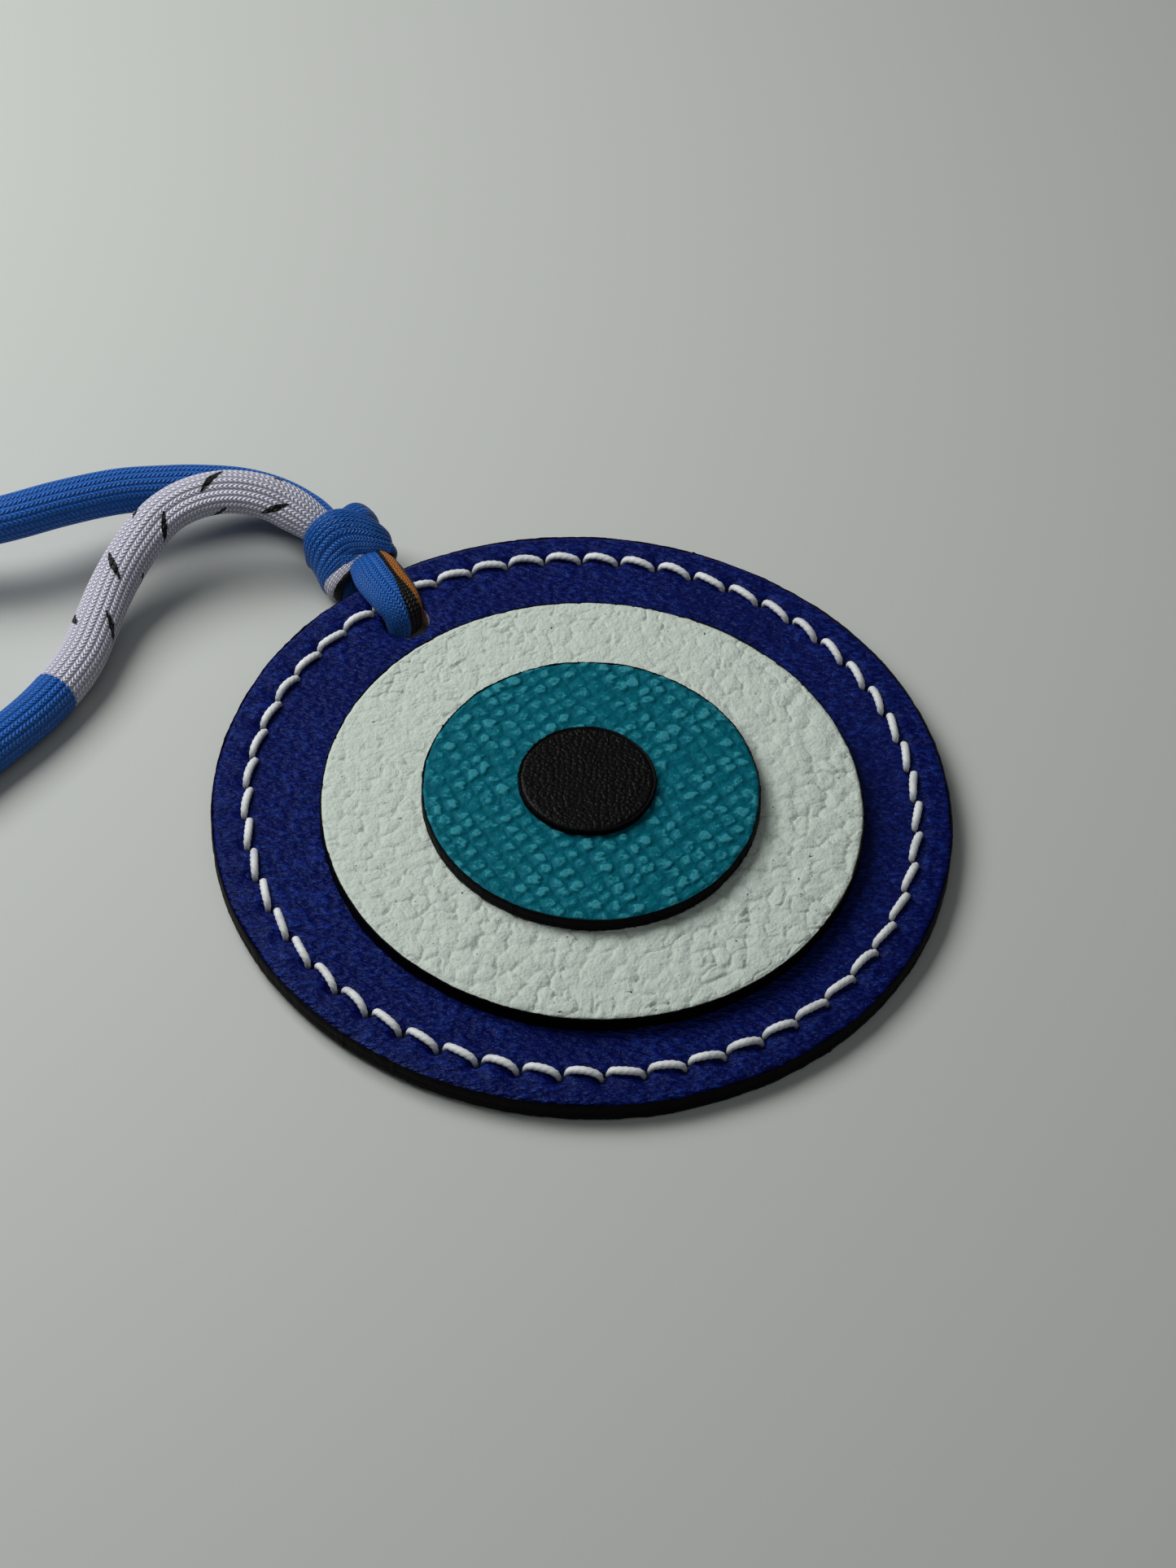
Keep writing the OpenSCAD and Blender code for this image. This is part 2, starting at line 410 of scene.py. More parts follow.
def white_leather():
    look = Look("white_pebbled", Specular_IOR_Level=0.25)
    fine = look.speckle(0.3, 3.0)
    dirt = look.speckle(0.5, 1.0)
    # Painted shade: the creases between the pebbles are painted darker
    colour = look.mix(look.step(look.value("height"), 0.5, 0.0), WHITE, WHITE_CREASE_SHADE)
    # Painted highlight: fine speckles are painted lighter
    colour = look.mix(look.sum("MULTIPLY", look.step(fine, 0.4, 0.7), 0.5), colour, WHITE_SPECKLE_HIGHLIGHT)
    colour = look.mix(look.step(dirt, 0.755, 0.78), colour, DIRT)
    return look.finish(colour, 0.62, look.bump(fine, 0.14, 0.9))


def teal_leather():
    look = Look("teal_embossed", Specular_IOR_Level=0.14, Specular_Tint=(0.2, 0.85, 1.0, 1.0))
    fine = look.speckle(0.22, 3.0)
    uneven = look.sum("MULTIPLY", look.sum("SUBTRACT", fine, 0.5), 0.9)
    top_highlight = look.sum("ADD", look.value("height"), uneven)
    # Painted highlight: the lozenge tops are painted lighter
    colour = look.mix(look.step(top_highlight, 0.5, 0.95), TEAL, TEAL_TOP_HIGHLIGHT)
    # Painted shade: the creases between the lozenges are painted darker
    colour = look.mix(look.step(look.value("height"), 0.2, 0.0), colour, TEAL_CREASE_SHADE)
    return look.finish(colour, 0.5, look.bump(fine, 0.07, 0.9))


def black_leather():
    look = Look("black_pebbled", Specular_IOR_Level=0.09)
    fine = look.speckle(0.2, 2.0)
    colour = look.mix(look.step(fine, 0.4, 0.8), BLACK, BLACK_WORN)
    return look.finish(colour, 0.42, look.bump(fine, 0.06, 0.8))


def edge_paint():
    look = Look("edge_paint", Specular_IOR_Level=0.06)
    lumps = look.speckle(0.5, 3.0)
    colour = look.mix(look.step(lumps, 0.5, 0.8), PAINT, PAINT_WORN)
    return look.finish(colour, 0.6, look.bump(lumps, 0.05))


def waxed_thread():
    look = Look("waxed_thread", Specular_IOR_Level=0.45, Sheen_Weight=0.15)
    fibres = look.speckle(0.12, 2.0)
    soil = look.speckle(1.6, 2.0)
    colour = look.mix(look.step(soil, 0.45, 0.75), THREAD, THREAD_SOILED)
    # Painted shade: the thread's ends are painted dark where they go down the holes
    colour = look.mix(look.value("sunk"), colour, THREAD_HOLE_SHADE)
    return look.finish(colour, 0.5, look.bump(fibres, 0.05, 0.8))


WALES = 20
STITCH_PITCH = 0.5


def cord_knit():
    """Tubular knit. u runs along the cord in mm and v once round it. ink, white and orange say how far from
    the edge of each colour a point is, in mm, less than zero inside it."""
    look = Look("printed_cord", Specular_IOR_Level=0.25, Sheen_Weight=0.05, Sheen_Roughness=0.4)
    uv = look.node("SeparateXYZ", {0: look.node("UVMap", {}, uv_map="UVMap").outputs[0]})
    wale = look.sum("FRACT", look.sum("MULTIPLY", uv.outputs[1], float(WALES)))
    from_middle = look.sum("ABSOLUTE", look.sum("SUBTRACT", wale, 0.5))
    row = look.sum("DIVIDE", uv.outputs[0], STITCH_PITCH)
    slanted = look.sum("FRACT", look.sum("ADD", row, look.sum("MULTIPLY", from_middle, 1.5)))
    from_strand = look.sum("ABSOLUTE", look.sum("SUBTRACT", slanted, 0.5))
    strand = look.sum("SUBTRACT", 1.0, look.sum("MULTIPLY", from_strand, 2.0))
    rib = look.step(from_middle, 0.5, 0.2)
    knit = look.sum("MULTIPLY", look.step(strand, 0.1, 0.85), rib)
    ragged = look.sum("MULTIPLY", look.sum("SUBTRACT", look.speckle(0.35, 2.0), 0.5), 0.28)

    def printed(name):
        return look.step(look.sum("ADD", look.value(name), ragged), 0.07, -0.07)

    fibres = look.speckle(0.15, 2.0)
    blue = look.mix(look.step(fibres, 0.3, 0.7), CORD_BLUE_DARK, CORD_BLUE)
    colour = look.mix(printed("white"), blue, CORD_WHITE)
    colour = look.mix(printed("orange"), colour, CORD_ORANGE)
    # Dark print. On the strap, part of it is painted shadow near the hole
    colour = look.mix(printed("ink"), colour, CORD_INK)
    # Painted shade: the furrows between the knitted strands are painted darker
    shade = look.ramp(knit, (0.0, KNIT_FURROW_SHADE), (0.5, (1, 1, 1)))
    colour = look.mix(1.0, colour, shade, "MULTIPLY")
    return look.finish(colour, 0.42, look.bump(knit, 0.2, 0.9))


def pale_floor():
    look = Look("pale_floor", Specular_IOR_Level=0.2)
    return look.finish(FLOOR, 0.6)


# ---------------------------------------------------------------- cord
# Free cord, from the knot round its loop and back to the knot, in mm
LOOP_ROUTE = [
    [-27.6, 35.2, 2.9], [-30.9, 38.6, 3.0], [-34.6, 40.9, 3.4], [-38.8, 41.7, 4.1],
    [-43.2, 41.0, 5.0], [-47.4, 39.6, 6.0], [-52.0, 37.7, 7.0], [-57.5, 34.8, 7.7],
    [-64.0, 31.6, 7.8], [-72.0, 29.6, 7.0], [-81.0, 28.6, 5.4], [-90.0, 26.6, 3.6],
    [-98.5, 21.6, 2.6], [-104.0, 13.2, 2.5], [-104.8, 3.2, 2.5], [-100.0, -5.6, 2.5],
    [-91.5, -10.6, 2.5], [-82.0, -11.0, 2.5], [-73.0, -7.6, 2.5], [-65.6, -1.8, 2.5],
    [-60.0, 4.9, 2.5], [-56.2, 10.4, 2.5], [-53.6, 15.8, 2.8], [-52.4, 20.6, 3.3],
    [-51.2, 25.4, 4.4], [-49.4, 29.4, 6.0], [-46.8, 32.9, 7.9], [-43.6, 35.0, 9.0],
    [-39.8, 36.1, 9.3], [-35.8, 36.2, 8.7], [-32.2, 35.3, 7.4], [-28.4, 33.4, 5.9],
]
CORD_R = 2.5
LOOP_LENGTH = 208.6
RIB = 0.10
CORD_SIDES = WALES * 6
LOOP_RINGS = 620
# The loop is a little flat on its first bend, with a fold along it at this angle
FOLD_AT = math.radians(125)
FOLD_WIDTH = 0.3
FOLD_DEPTH = 0.32
FLATTENING = 0.12
# Share of its thickness that the cord keeps where it goes into the knot
SQUEEZED = 0.72

# Plain slanted ticks on the white part of the loop at a fixed pitch, as points of
# (mm along, degrees round, half width in mm)
TICK_PITCH = 7.0
TICKS_ROUND = 3
LAST_TICK = 40.0
TICKS = [
    [(middle - 1.2, turn - 30, 0.15), (middle, turn, 0.4), (middle + 1.2, turn + 30, 0.15)]
    for row, middle in enumerate(np.arange(TICK_PITCH, LAST_TICK, TICK_PITCH))
    for turn in (360 / TICKS_ROUND) * (np.arange(TICKS_ROUND) + 0.5 * (row % 2)) + 30
]
# Where the white part of the loop ends, in mm along
WHITE_END = 44.0
# A distance in mm that means well outside a colour
FAR = 2.0


def ribbed(angle, wales=WALES):
    """How far a knitted rib stands above the furrows, in mm."""
    return RIB * np.abs(np.sin(wales / 2 * angle))


def stroke_distance(along, angle, strokes, radius):
    """Distance from the edge of the nearest stroke, in mm, less than zero inside it."""
    nearest = np.full(along.shape, 9.0)
    for stroke in strokes:
        fine = smooth_route([(s, radius * math.radians(a), w) for s, a, w in stroke], 60)
        for s, arc, half in fine:
            nearest = np.minimum(nearest, np.hypot(along - s, radius * angle - arc) - half)
    return nearest


def make_loop(material):
    path = smooth_route(LOOP_ROUTE[::-1], LOOP_RINGS)
    forward = np.gradient(path, axis=0)
    across = np.stack([forward[:, 1], -forward[:, 0], 0 * forward[:, 0]], -1)
    across /= np.linalg.norm(across, axis=1)[:, None]
    along = np.linspace(0, LOOP_LENGTH, len(path))[:, None]
    angle = np.linspace(0, 2 * math.pi, CORD_SIDES, endpoint=False)[None, :]
    swell = 0.05 * noise(along / 9, 0 * along, 3) + 0.06 * noise(along / 5, angle * 1.2, 4)
    bent = smoothstep(2, 7, along) * smoothstep(27, 18, along)
    fold = bent * np.exp(-(((angle - FOLD_AT) / FOLD_WIDTH) ** 2))
    from_knot = np.minimum(along, LOOP_LENGTH - along)
    radius = CORD_R - 0.06 + ribbed(angle + 0 * along) - 0.05 + swell - FOLD_DEPTH * fold
    radius = radius * (SQUEEZED + (1 - SQUEEZED) * smoothstep(0, 6, from_knot))
    points = sweep(path, across, radius * np.cos(angle), radius * np.sin(angle) * (1 - FLATTENING * bent))
    faces = capped(len(path), CORD_SIDES)
    loop = mesh_piece(
        "cord_loop_knit", points.reshape(-1, 3), faces, [material], "cord", ["cord_loop"], flat=False
    )
    s, a = along + 0 * angle, angle + 0 * along
    ink = stroke_distance(s, a, TICKS, CORD_R)
    put_values(loop, "ink", ink)
    put_values(loop, "white", np.clip(s - WHITE_END, -FAR, FAR))
    put_values(loop, "orange", np.full(s.shape, FAR))
    put_uv(loop, np.stack([s, a / (2 * math.pi)], -1).reshape(-1, 2))
    return loop, path


# Turns of the knot, seen from the middle of the base, in mm:
# [outwards, along the rim, up, half width, half thickness]
KNOT_BAND = [
    [41.9, 1.6, 1.2, 1.5, 0.9], [42.0, -0.4, 1.1, 1.6, 0.9], [42.1, -1.9, 1.6, 1.7, 0.9],
    [42.2, -2.6, 3.0, 1.85, 0.9], [42.4, -2.5, 4.7, 2.3, 0.9], [42.5, -1.7, 6.2, 2.85, 0.9],
    [42.4, -0.2, 7.0, 3.0, 0.95], [41.9, 1.4, 6.7, 2.55, 1.15], [41.1, 2.8, 5.9, 2.05, 1.35],
    [40.4, 3.7, 4.7, 1.75, 1.4], [40.1, 3.4, 3.6, 1.55, 1.2], [40.0, 2.3, 3.0, 1.4, 1.0],
]
KNOT_LOBE = [
    [42.9, 0.2, 1.8, 1.3, 1.0], [43.4, 2.6, 2.2, 1.5, 1.1], [43.8, 3.9, 3.7, 1.6, 1.2],
    [43.9, 4.1, 5.6, 1.7, 1.3], [43.7, 3.1, 7.1, 1.7, 1.25], [43.2, 1.3, 7.4, 1.6, 1.1],
    [42.8, -0.2, 6.6, 1.5, 1.0],
]
KNOT_COLLAR = [
    [40.5, -1.4, 1.2, 1.1, 0.8], [40.3, -2.5, 1.8, 1.1, 0.85], [40.2, -2.7, 3.0, 1.15, 0.9],
    [40.2, -1.9, 4.1, 1.2, 0.9], [40.3, -0.4, 4.8, 1.2, 0.9], [40.7, 1.4, 5.0, 1.2, 0.9],
    [41.0, 2.6, 4.4, 1.1, 0.9],
]
KNOT_CORE = [
    [45.4, -1.2, 3.6, 2.3, 2.2], [43.5, -0.4, 4.0, 2.6, 2.6], [41.5, 0.4, 4.2, 2.6, 2.5],
    [39.9, 0.8, 4.0, 2.0, 1.6],
]
# The cord over the rim and down through the hole, in the same terms, in the flat frame
STRAP = [
    [40.6, 1.3, 2.8, 1.6, 0.9], [39.4, 1.2, 3.3, 2.1, 0.95], [38.0, 0.9, 3.7, 2.5, 0.95],
    [36.4, 0.6, 3.8, 2.75, 0.95], [34.8, 0.45, 3.7, 2.75, 0.95], [33.3, 0.4, 3.4, 2.6, 1.0],
    [32.1, 0.4, 2.75, 2.35, 1.1], [31.4, 0.3, 1.8, 2.15, 1.2], [31.3, 0.2, 0.7, 2.05, 1.15],
    [32.0, 0.1, -0.2, 2.0, 0.95], [33.0, 0.0, -0.72, 2.0, 0.78], [34.8, 0.0, -0.78, 2.4, 0.74],
    [37.2, 0.0, -0.78, 2.5, 0.74], [38.5, 0.0, -0.4, 2.4, 0.85], [39.6, 0.2, 0.4, 2.2, 0.95],
    [40.6, 0.4, 1.4, 1.9, 1.0],
]
# Knitted wales round the flattened cord, and the points round it
FLAT_WALES = 28
FLAT_SIDES = FLAT_WALES * 5


def flattened(route, count, squareness=0.8):
    """Rings of a flattened knitted tube along a route like KNOT_BAND."""
    even_route = smooth_route(route, count)
    path = even_route[:, :1] * OUT + even_route[:, 1:2] * ACROSS + even_route[:, 2:3] * UP
    angle = np.linspace(0, 2 * math.pi, FLAT_SIDES, endpoint=False)[None, :]
    rib = 1 + 0.45 * ribbed(angle, FLAT_WALES) / even_route[:, 4:5]
    wide = even_route[:, 3:4] * np.sign(np.cos(angle)) * np.abs(np.cos(angle)) ** squareness
    deep = even_route[:, 4:5] * np.sign(np.sin(angle)) * np.abs(np.sin(angle)) ** squareness
    wide, deep = wide * (1 + 0.01 * rib), deep * (0.94 * rib)
    return path, angle, wide, deep


def cord_turn(name, route, count, across, printed, materials, body, replaces, flat=False):
    path, angle, wide, deep = flattened(route, count)
    points = sweep(path, across, wide, deep)
    faces = capped(count, FLAT_SIDES)
    turn = mesh_piece(name, points.reshape(-1, 3), faces, materials, body, replaces, flat)
    steps = np.linalg.norm(np.diff(path, axis=0), axis=1)
    along = np.concatenate([[0], np.cumsum(steps)])[:, None] + 0 * angle
    tighter = FLAT_WALES / WALES
    uv = np.stack([along * tighter, tighter * angle / (2 * math.pi) + 0 * along], -1)
    put_uv(turn, uv.reshape(-1, 2), tighter)
    for kind, distance in printed(along, wide, deep).items():
        put_values(turn, kind, distance)
    return turn


def plain_blue(along, wide, deep):
    far = np.full(along.shape, FAR)
    return {"ink": far, "white": far, "orange": far}


def band_print(along, wide, deep):
    """Blue, with a dark line along the edge next to the base."""
    far = np.full(along.shape, FAR)
    edge = np.abs(wide + 0.97 * np.abs(wide).max(1, keepdims=True)) - 0.22
    return {"ink": np.where(deep > -0.4, edge, FAR), "white": far, "orange": far}


def collar_print(along, wide, deep):
    """White, with a dark line along both edges."""
    ink = (np.abs(wide).max(1, keepdims=True) - np.abs(wide)) * 1.2 - 0.3 + 0 * along
    return {"ink": ink, "white": np.full(along.shape, -FAR), "orange": np.full(along.shape, FAR)}


def strap_print(along, wide, deep):
    """Blue, with an orange stripe between two dark ones on the right. The left dark stripe is print, and its
    widening towards the hole is painted shadow in the hole.
    """
    # Towards the hole the left dark stripe widens: printed line, with painted shadow where the strap goes
    # into the hole
    hole_shadow_spread = smoothstep(5.0, 9.5, along)
    left_line_and_shadow = np.abs(wide - 1.25 + 0.35 * hole_shadow_spread) - 0.25 - 0.6 * hole_shadow_spread
    ink = np.minimum(left_line_and_shadow, np.abs(wide - 2.6) - 0.25)
    return {"ink": ink, "white": np.full(along.shape, FAR), "orange": np.abs(wide - 1.9) - 0.5}


def make_knot(material):
    return [
        cord_turn("knot_band", KNOT_BAND, 130, OUT + UP, band_print, [material], "cord", ["cord_knot"]),
        cord_turn("knot_lobe", KNOT_LOBE, 80, OUT, plain_blue, [material], "cord", ["cord_knot"]),
        cord_turn("knot_collar", KNOT_COLLAR, 70, OUT, collar_print, [material], "cord", ["cord_knot"]),
        cord_turn("knot_core", KNOT_CORE, 40, ACROSS, plain_blue, [material], "cord", ["cord_knot"]),
    ]


def make_strap(material):
    replaced = ["cord_bight"]
    name = "cord_bight_strap"
    strap = cord_turn(name, STRAP, 170, ACROSS, strap_print, [material], None, replaced, flat=True)
    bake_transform(strap)
    return strap


# ---------------------------------------------------------------- leather
STITCH_R = 33.94
SEGMENTS = 18 * STITCHES
# The base's relief starts here, under the white disc
RELIEF_FROM = 25.0
RELIEF_RINGS = 56


def stitched_relief(radius, turn):
    """Height of the leather round the awl slits, in mm, and how far into a slit each point is, 0 to 1."""
    place = (turn - HOLE_TURN) / STITCH_STEP - 0.5
    round_rim = (place - np.round(place)) * STITCH_STEP * STITCH_R
    outward = radius - STITCH_R
    along_slit = -0.64 * round_rim + 0.77 * outward
    across_slit = 0.77 * round_rim + 0.64 * outward
    slit = np.exp(-(((along_slit - 0.1) / 0.8) ** 2) - (across_slit / 0.34) ** 2)
    pull = np.exp(-(((along_slit - 0.6) / 1.0) ** 2) - (across_slit / 0.75) ** 2)
    between = np.sin(np.pi * round_rim / (STITCH_STEP * STITCH_R)) ** 2
    outside = 0.20 * np.exp(-(((outward - 1.3) / 0.75) ** 2))
    inside = 0.08 * np.exp(-(((outward + 1.1) / 0.7) ** 2))
    swell = between * (outside + inside)
    strength = 1 + 0.6 * noise(place.round() * 0.73, 0 * place, 21)
    return swell - strength * (0.5 * slit + 0.3 * pull), slit


def base_leather(name, node, way, skin, raw):
    """One leather layer of the base. way is 1 where its upper face shows and -1 where its lower one does."""
    _, radius, low, high = flat_size(node)
    face, hidden = (high, low) if way > 0 else (low, high)
    turn = np.linspace(0, 2 * math.pi, SEGMENTS, endpoint=False)[None, :]
    rings = np.linspace(RELIEF_FROM, radius, RELIEF_RINGS)[:, None]
    wobble = 0.16 * noise(turn * 7, 0 * turn, 31) + 0.09 * noise(turn * 31, 0 * turn, 32 + way)
    r = rings + wobble * smoothstep(34.5, radius, rings)
    relief, slit = stitched_relief(r, turn)
    x, y = r * np.cos(turn), r * np.sin(turn)
    relief = relief + 0.07 * noise(x / 4, y / 4, 33) + 0.035 * noise(x / 1.1, y / 1.1, 34)
    from_hole = np.hypot(x - HOLE_AT * OUT[0], y - HOLE_AT * OUT[1])
    relief = relief - 0.22 * np.exp(-(np.maximum(from_hole - HOLE_R, 0) / 0.45))
    relief = relief - 0.2 * smoothstep(radius - 0.55, radius, r) ** 2
    if way < 0:
        groove = smoothstep(1.15, 0.75, np.abs(r - STITCH_R))
        relief = np.where(groove > 0, -0.62 * groove + 0.3 * relief, relief)
    top = np.stack([x, y, face + way * relief], -1).reshape(-1, 3)

    hole = HOLE_AT * OUT[:2]
    from_hole = from_hole.ravel()
    quads = np.array(tube_faces(len(rings), SEGMENTS))
    kept = (from_hole[quads] > HOLE_R - 0.02).all(1)
    lip = np.intersect1d(quads[kept].ravel(), quads[~kept].ravel())
    away = top[lip, :2] - hole
    lip = lip[np.argsort(np.arctan2(away[:, 1], away[:, 0]))]
    away = top[lip, :2] - hole
    top[lip, :2] = hole + HOLE_R * away / np.linalg.norm(away, axis=1)[:, None]

    points, faces = [top], quads[kept].tolist()
    rim = [(len(rings) - 1) * SEGMENTS + k for k in range(SEGMENTS)]
    faces.append(list(range(SEGMENTS)))
    plain = len(faces)
    total = len(top)
    edges = []
    for loop_of_points in (rim, lip.tolist()):
        ring = top[loop_of_points]
        above = loop_of_points
        for share in (0.15, 0.5, 0.85, 1.0):
            lower = ring.copy()
            lower[:, 2] += (hidden - ring[:, 2]) * share
            points.append(lower)
            below = list(range(total, total + len(lower)))
            n = len(below)
            faces += [[above[k], above[(k + 1) % n], below[(k + 1) % n], below[k]] for k in range(n)]
            above, total = below, total + n
        edges.append(above)
    walls = len(faces)
    every = np.concatenate(points)
    outline = [[Vector(every[k]) for k in edge] for edge in edges]
    numbers = edges[0] + edges[1]
    faces += [[numbers[a], numbers[b], numbers[c]] for a, b, c in tessellate_polygon(outline)]
    piece = mesh_piece(name, every, faces, [skin, raw], "charm", [node])
    rim_walls = plain + 4 * SEGMENTS
    raw_faces = [int(rim_walls <= k < walls) for k in range(len(faces))]
    piece.data.polygons.foreach_set("material_index", raw_faces)
    # How far into an awl slit each point is, which the material paints as shade
    slit_shade = np.zeros(len(every))
    slit_shade[: len(top)] = slit.ravel()
    put_values(piece, "slit_shade", slit_shade)
    return piece


def grain_disc(name, node, count, relief, skin, burr_seed):
    """A leather disc with its grain in the mesh. relief gives a height in mm and a value for the material."""
    middle, radius, low, high = flat_size(node)
    line = np.linspace(-1, 1, count)
    u, v = np.meshgrid(line, line, indexing="ij")
    x, y = u * np.sqrt(1 - v * v / 2), v * np.sqrt(1 - u * u / 2)
    turn, share = np.arctan2(y, x), np.hypot(x, y)
    reach = radius + 0.1 * noise(turn * 6, 0 * turn, burr_seed)
    reach = reach + 0.07 * noise(turn * 25, 0 * turn, burr_seed + 1)
    x, y = middle[0] + x * reach, middle[1] + y * reach
    height, shown = relief(x, y)
    edge = smoothstep(1 - 0.5 / radius, 1, share)
    z = high + height * (1 - 0.6 * edge) - 0.16 * edge**2
    top = np.stack([x, y, z], -1).reshape(-1, 3)
    number = np.arange(count * count).reshape(count, count)
    quads = np.stack([number[:-1, :-1], number[1:, :-1], number[1:, 1:], number[:-1, 1:]], -1)
    quads = quads.reshape(-1, 4).tolist()
    border = np.concatenate([number[:-1, 0], number[-1, :-1], number[:0:-1, -1], number[0, :0:-1]])
    points, total, above = [top], len(top), border.tolist()
    for share_down in (0.3, 0.7, 1.0):
        lower = top[border].copy()
        lower[:, 2] += (low - lower[:, 2]) * share_down
        points.append(lower)
        below = list(range(total, total + len(lower)))
        n = len(below)
        quads += [[above[k], above[(k + 1) % n], below[(k + 1) % n], below[k]] for k in range(n)]
        above, total = below, total + n
    quads.append(above)
    piece = mesh_piece(name, np.concatenate(points), quads, [skin], "charm", [node])
    values = np.zeros(total)
    values[: len(top)] = shown.ravel()
    put_values(piece, "height", values)
    return piece


def pebbles(x, y):
    """Soft irregular pebbles, flatter on the left and at the back, drawn into slanted folds on the right."""
    drift = [0.5 * noise(x / 2.2, y / 2.2, 41 + k) + 0.4 * noise(x / 0.9, y / 0.9, 47 + k) for k in (0, 1)]
    inside, owner, away = cells(x / 1.9 + drift[0], y / 1.8 + drift[1], 43)
    folds = noise((0.9 * x - 0.45 * y) / 1.3 + drift[0], (0.45 * x + 0.9 * y) / 5.5, 44)
    fine = noise(x / 0.42, y / 0.42, 45) + 0.6 * noise(x / 0.22, y / 0.22, 46)
    broken = smoothstep(-0.25, 0.2, noise(x / 1.3, y / 1.3, 49))
    crease = 1 - smoothstep(0.0, 0.16, inside)
    second = np.exp(-(((inside - 0.33) / 0.06) ** 2))
    second = second * smoothstep(0.1, 0.3, noise(x / 0.9, y / 0.9, 50) + 0.2)
    dome = np.clip(1 - (away / 0.75) ** 2, 0, 1)
    bold = 0.35 + 0.65 * smoothstep(-18, 14, 0.75 * x - 0.85 * y)
    right = smoothstep(6, 20, x + 0.3 * y)
    height = bold * (0.22 * dome * (0.5 + 0.7 * owner) + 0.22 * right * folds)
    height = height - 0.2 * crease * broken - 0.1 * second + 0.07 * fine
    # The second value drops in the creases, where the material paints shade
    return height - 0.12, 1 - np.maximum(crease * broken, 0.6 * second)


def lozenges(x, y):
    """Rows of raised lozenges that cross at a slant, pressed unevenly. The second value paints their tops
    lighter as a painted highlight and their creases darker as painted shade.
    """
    x2 = x + 0.5 * noise(x / 2.4, y / 2.4, 51) + 0.3 * noise(x / 0.8, y / 0.8, 56)
    y2 = y + 0.5 * noise(x / 2.4, y / 2.4, 52) + 0.35 * noise(x / 0.8, y / 0.8, 57)
    inside, owner, away = cells((0.82 * x2 + 0.57 * y2) / 1.75, (-0.67 * x2 + 0.74 * y2) / 1.55, 53, 0.32)
    rise = 0.4 + 0.75 * owner
    dome = smoothstep(0.56, 0.2, away + 0.3 * noise(x / 0.6, y / 0.35, 58))
    crease = 1 - smoothstep(0.0, 0.2, inside)
    fine = noise(x / 0.45, y / 0.3, 54) + 0.7 * noise(x / 0.2, y / 0.2, 55)
    height = 0.2 * dome * rise - 0.035 * crease + 0.06 * fine
    return height - 0.12, np.clip(dome * (0.55 + 0.45 * owner) + 0.45 * fine - 0.1 * crease, 0, 1)


def fine_pebbles(x, y):
    drift = 0.4 * noise(x / 0.9, y / 0.9, 61)
    inside, owner, _ = cells(x / 0.62 + drift, y / 0.48 - drift, 62)
    raised = smoothstep(0.0, 0.35, inside)
    return 0.06 * raised * (0.5 + owner) + 0.02 * noise(x / 0.2, y / 0.2, 63) - 0.05, raised


def paint_band(name, node, material, seed):
    """The painted cut edge: it laps a little over the leather's upper edge, with small lumps and burrs."""
    middle, radius, low, high = flat_size(node)
    turn = np.linspace(0, 2 * math.pi, 1440, endpoint=False)[None, :]
    # The section, as [inwards from the edge, share of the height, how much the outline wanders]
    section = np.array([
        [0.30, 0.80, 0.1], [0.08, 0.92, 0.6], [0.03, 0.92, 0.5], [0.0, 0.88, 0.4], [-0.05, 0.75, 0.4],
        [-0.06, 0.52, 0.5], [-0.03, 0.48, 0.5], [-0.06, 0.44, 0.5], [-0.05, 0.2, 0.4], [0.0, 0.05, 0.4],
        [0.12, 0.0, 0.6], [0.4, 0.02, 0.3], [0.45, 0.5, 0.0],
    ])
    inwards, share, wander = (section[:, k : k + 1] for k in range(3))
    wobble = 0.1 * noise(turn * 6, 0 * turn, seed) + 0.07 * noise(turn * 25, 0 * turn, seed + 1)
    ragged = 0.14 * noise(turn * 60, 3 * share, seed + 2) + 0.1 * noise(turn * 160, 5 * share, seed + 3)
    burr = np.where(lattice(np.floor(turn * 57), 0 * turn, seed + 4) > 0.975, 0.22, 0)
    burr = burr * np.sin(np.pi * turn * 57) ** 8
    r = radius + wobble - inwards + wander * (ragged + burr)
    z = low + (high - low) * share + np.where(share > 0.9, 0.03 + 0.5 * burr, 0) + 0 * turn
    z = np.where(share < 0.08, np.maximum(z, low), z)
    points = ring_points(r, z, turn) + np.array([middle[0], middle[1], 0])
    n = turn.size
    faces = tube_faces(len(section), n)
    last = (len(section) - 1) * n
    faces += [[last + k, last + (k + 1) % n, (k + 1) % n, k] for k in range(n)]
    return mesh_piece(name, points.reshape(-1, 3), faces, [material], "charm", [node])


# ---------------------------------------------------------------- thread
THREAD_R = 0.40
IN_HOLE = 0.36
PLIES = 3
PLY_PITCH = 1.7
TUCK = 0.24


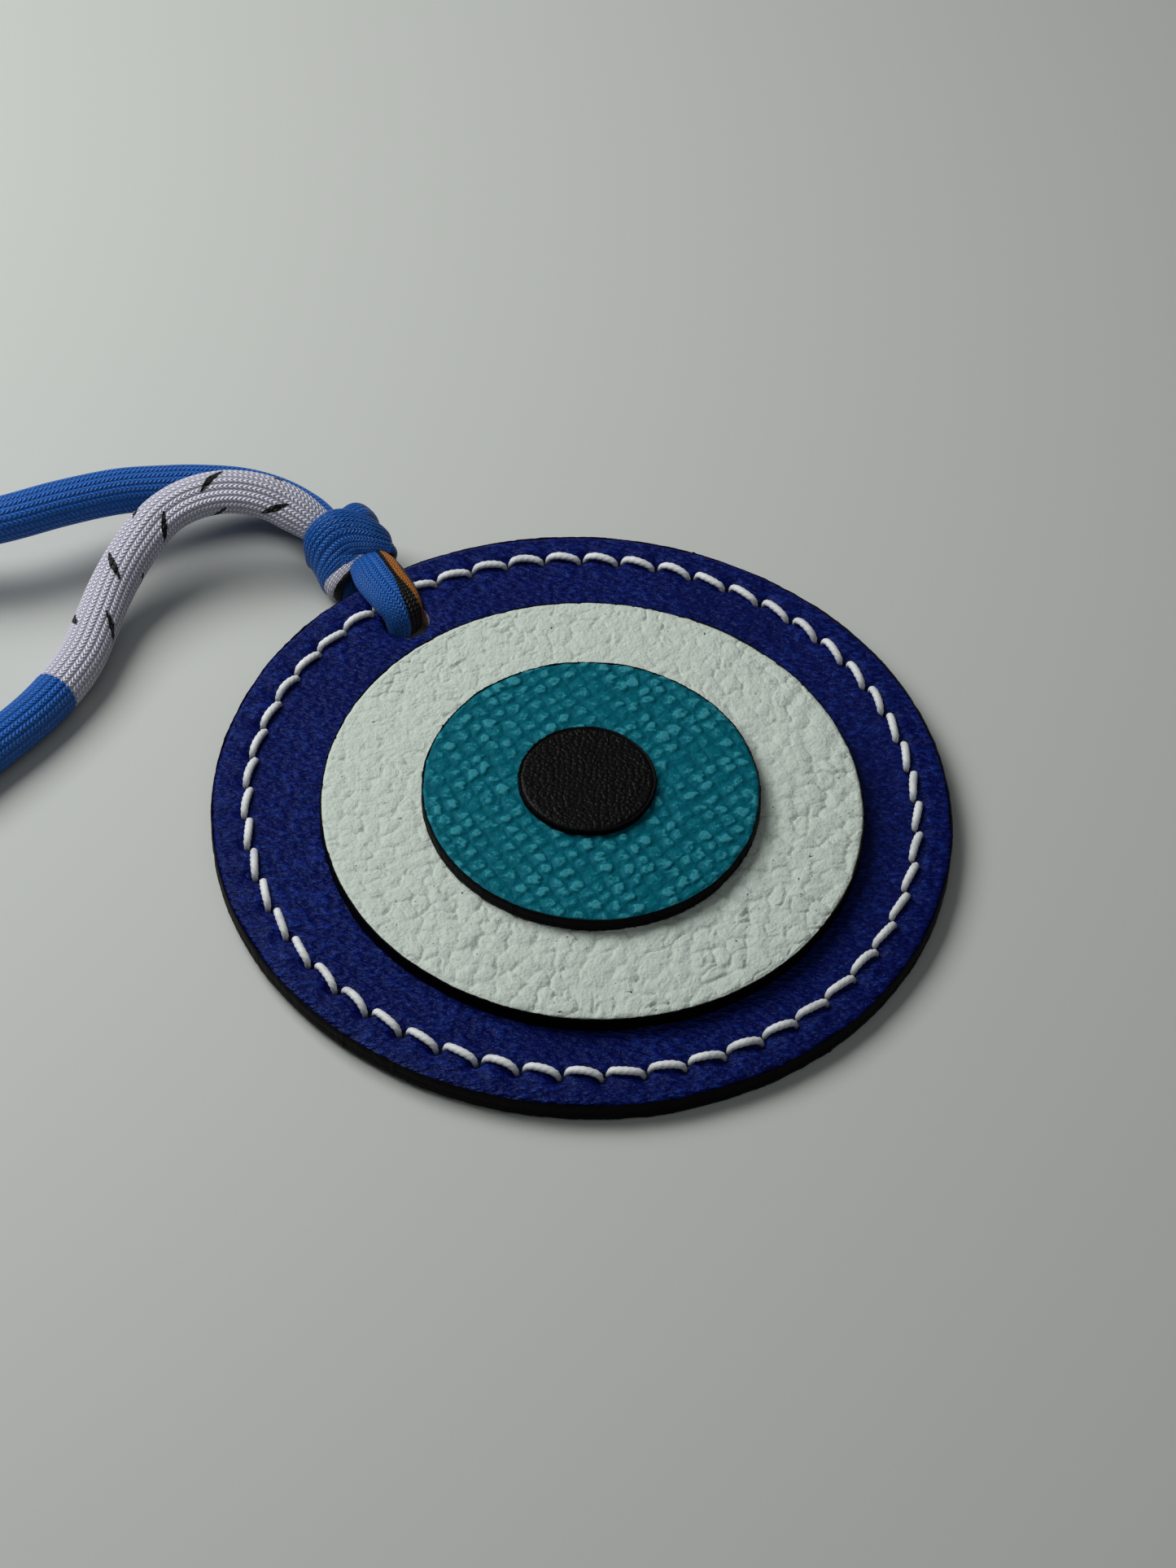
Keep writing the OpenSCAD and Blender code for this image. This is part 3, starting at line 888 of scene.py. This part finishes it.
def stitches(name, node, face, way, sides, count, material):
    """Every length of thread on one face, each a little different, with both ends down its awl holes."""
    angle = np.linspace(0, 2 * math.pi, sides, endpoint=False)[None, :]
    points, faces, sunk = [], [], []
    for i in range(STITCHES):
        start = HOLE_TURN + (i - 0.5) * STITCH_STEP
        finish = start + STITCH_STEP
        shift = lattice(i, way, 71), lattice(i, way, 72), lattice(i, way, 73)
        p = (STITCH_R - IN_HOLE) * np.array([math.cos(start), math.sin(start), 0])
        q = (STITCH_R + IN_HOLE) * np.array([math.cos(finish), math.sin(finish), 0])
        chord = (q - p) / np.linalg.norm(q - p)
        outward = np.array([chord[1], -chord[0], 0])
        p, q = p + TUCK * chord, q - TUCK * chord
        middle, half = (p + q) / 2, np.linalg.norm(q - p) / 2
        bow = 0.16 * (shift[0] - 0.5)
        lift = way * UP
        level = face * UP
        ridge = level + lift * (THREAD_R - 0.06)
        peak = (0.10 + 0.14 * shift[1]) if way > 0 else 0.0
        knots = [
            [*(p + level - 1.0 * lift), 0.22], [*(p + 0.12 * chord + level - 0.4 * lift), 0.28],
            [*(middle - 0.76 * half * chord + ridge - 0.12 * lift), 0.36],
            [*(middle - 0.3 * half * chord + bow * outward + ridge + 0.8 * peak * lift), THREAD_R],
            [*(middle + 0.3 * half * chord + bow * outward + ridge + peak * lift), THREAD_R],
            [*(middle + 0.76 * half * chord + ridge - 0.12 * lift), 0.36],
            [*(q - 0.12 * chord + level - 0.4 * lift), 0.28], [*(q + level - 1.0 * lift), 0.22],
        ]
        route = smooth_route(knots, count)
        along = np.linspace(0, np.linalg.norm(q - p) + 1.4, count)[:, None]
        twist = 2 * math.pi * (along / PLY_PITCH + shift[2])
        ply = np.abs(np.cos(PLIES / 2 * (angle - twist)))
        size = route[:, 3:4] * (0.80 + 0.23 * ply)
        size = size * (1 + 0.05 * noise(along * 2, angle + i, 74))
        wide, deep = 1.05 * size * np.cos(angle), 0.92 * size * np.sin(angle)
        points.append(sweep(route[:, :3], outward, wide, deep).reshape(-1, 3))
        faces += [[k + i * count * sides for k in face_points] for face_points in capped(count, sides)]
        # How far each end has gone into its hole, which the material paints as shade
        sunk.append(np.repeat(smoothstep(0.62, 0.9, np.abs(np.linspace(-1, 1, count))), sides))
    piece = mesh_piece(name, np.concatenate(points), faces, [material], "charm", [node])
    put_values(piece, "sunk", np.concatenate(sunk))
    return piece


# ---------------------------------------------------------------- build
make_camera()
make_studio()
floor_mesh = bpy.data.meshes.new("floor")
floor_mesh.from_pydata([(-2, -2, 0), (2, -2, 0), (2, 2, 0), (-2, 2, 0)], [], [(0, 1, 2, 3)])
floor = bpy.data.objects.new("floor", floor_mesh)
bpy.context.scene.collection.objects.link(floor)
floor_mesh.materials.append(pale_floor())

cord_material = cord_knit()
loop, loop_path = make_loop(cord_material)
knot = make_knot(cord_material)
strap = make_strap(cord_material)

navy, raw = navy_leather(), raw_leather()
base_leather("front_leather", "front_disc", 1, navy, raw)
base_leather("backing_leather", "backing_disc", -1, navy, raw)
grain_disc("white_leather_disc", "white_disc", 300, pebbles, white_leather(), 81)
grain_disc("iris_leather_disc", "iris_disc", 260, lozenges, teal_leather(), 84)
grain_disc("pupil_leather_disc", "pupil_disc", 150, fine_pebbles, black_leather(), 87)

paint = edge_paint()
for seed, layer in enumerate(("rim", "white", "iris", "pupil")):
    paint_band(layer + "_painted_edge", layer + "_edge_paint", paint, 90 + 10 * seed)

thread = waxed_thread()
# The back thread lies in a groove, this far up from the base's back, in mm
GROOVE_FLOOR = 0.72
base_top = flat_size("front_disc")[3]
stitches("front_thread", "front_stitches", base_top, 1, 18, 26, thread)
stitches("back_thread", "back_stitches", GROOVE_FLOOR, -1, 10, 18, thread)
